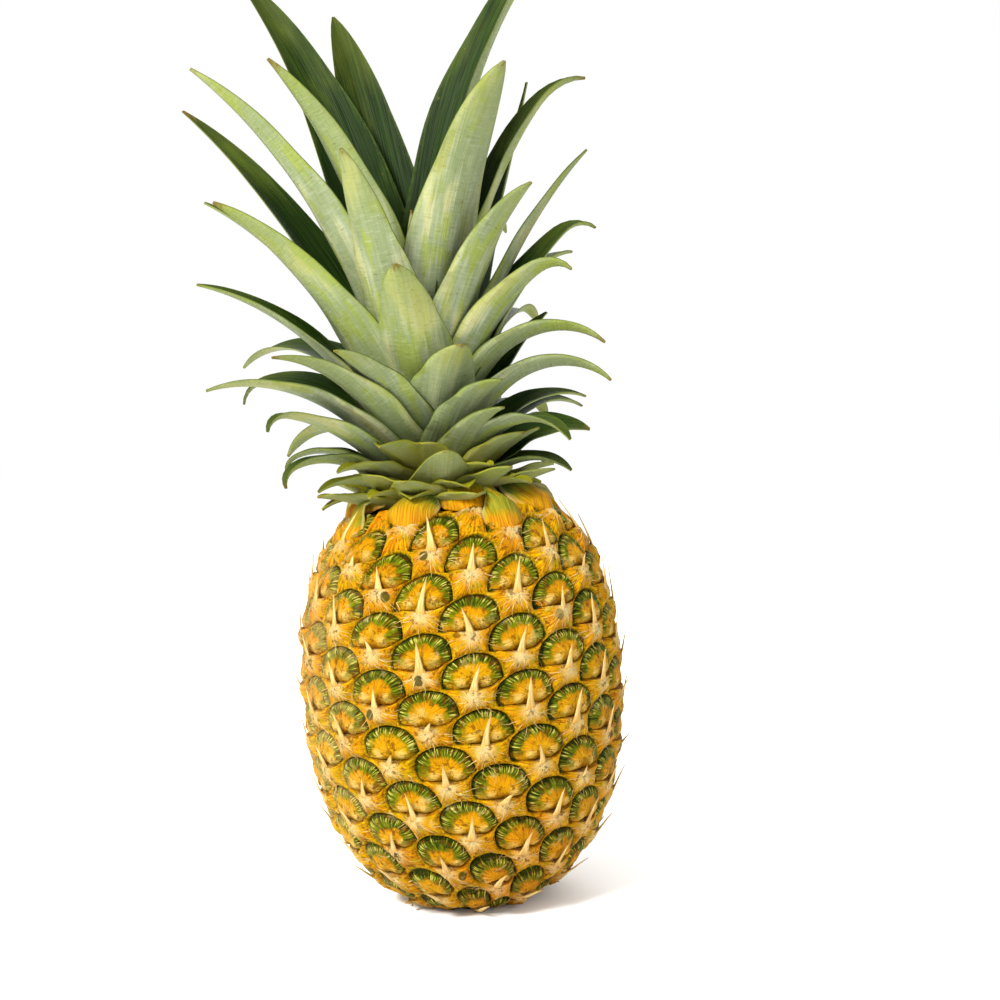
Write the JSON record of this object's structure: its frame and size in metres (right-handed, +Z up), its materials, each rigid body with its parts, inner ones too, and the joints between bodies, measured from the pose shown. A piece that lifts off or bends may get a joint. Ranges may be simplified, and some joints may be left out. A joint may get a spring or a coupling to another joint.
{
  "type": "pineapple",
  "caption": "Whole ripe pineapple standing on its flattened base, with spiralling eyes, spiny bracts and a full crown of leaves.",
  "frame": {"origin": "centre of the flat resting face under the fruit", "axes": "+Z up along the fruit's axis to the crown, -Y towards the side seen in front, +X to the right of that side"},
  "size_m": [0.1532, 0.1601, 0.3612],
  "materials": {
    "rind": "satin, waxy plant skin",
    "leaf": "satin leaf",
    "stalk": "dry cut plant fibre"
  },
  "bodies": {
    "root": {"fruit": "rind", "crown": "leaf", "cut_stalk": "stalk"}
  },
  "joints": []
}
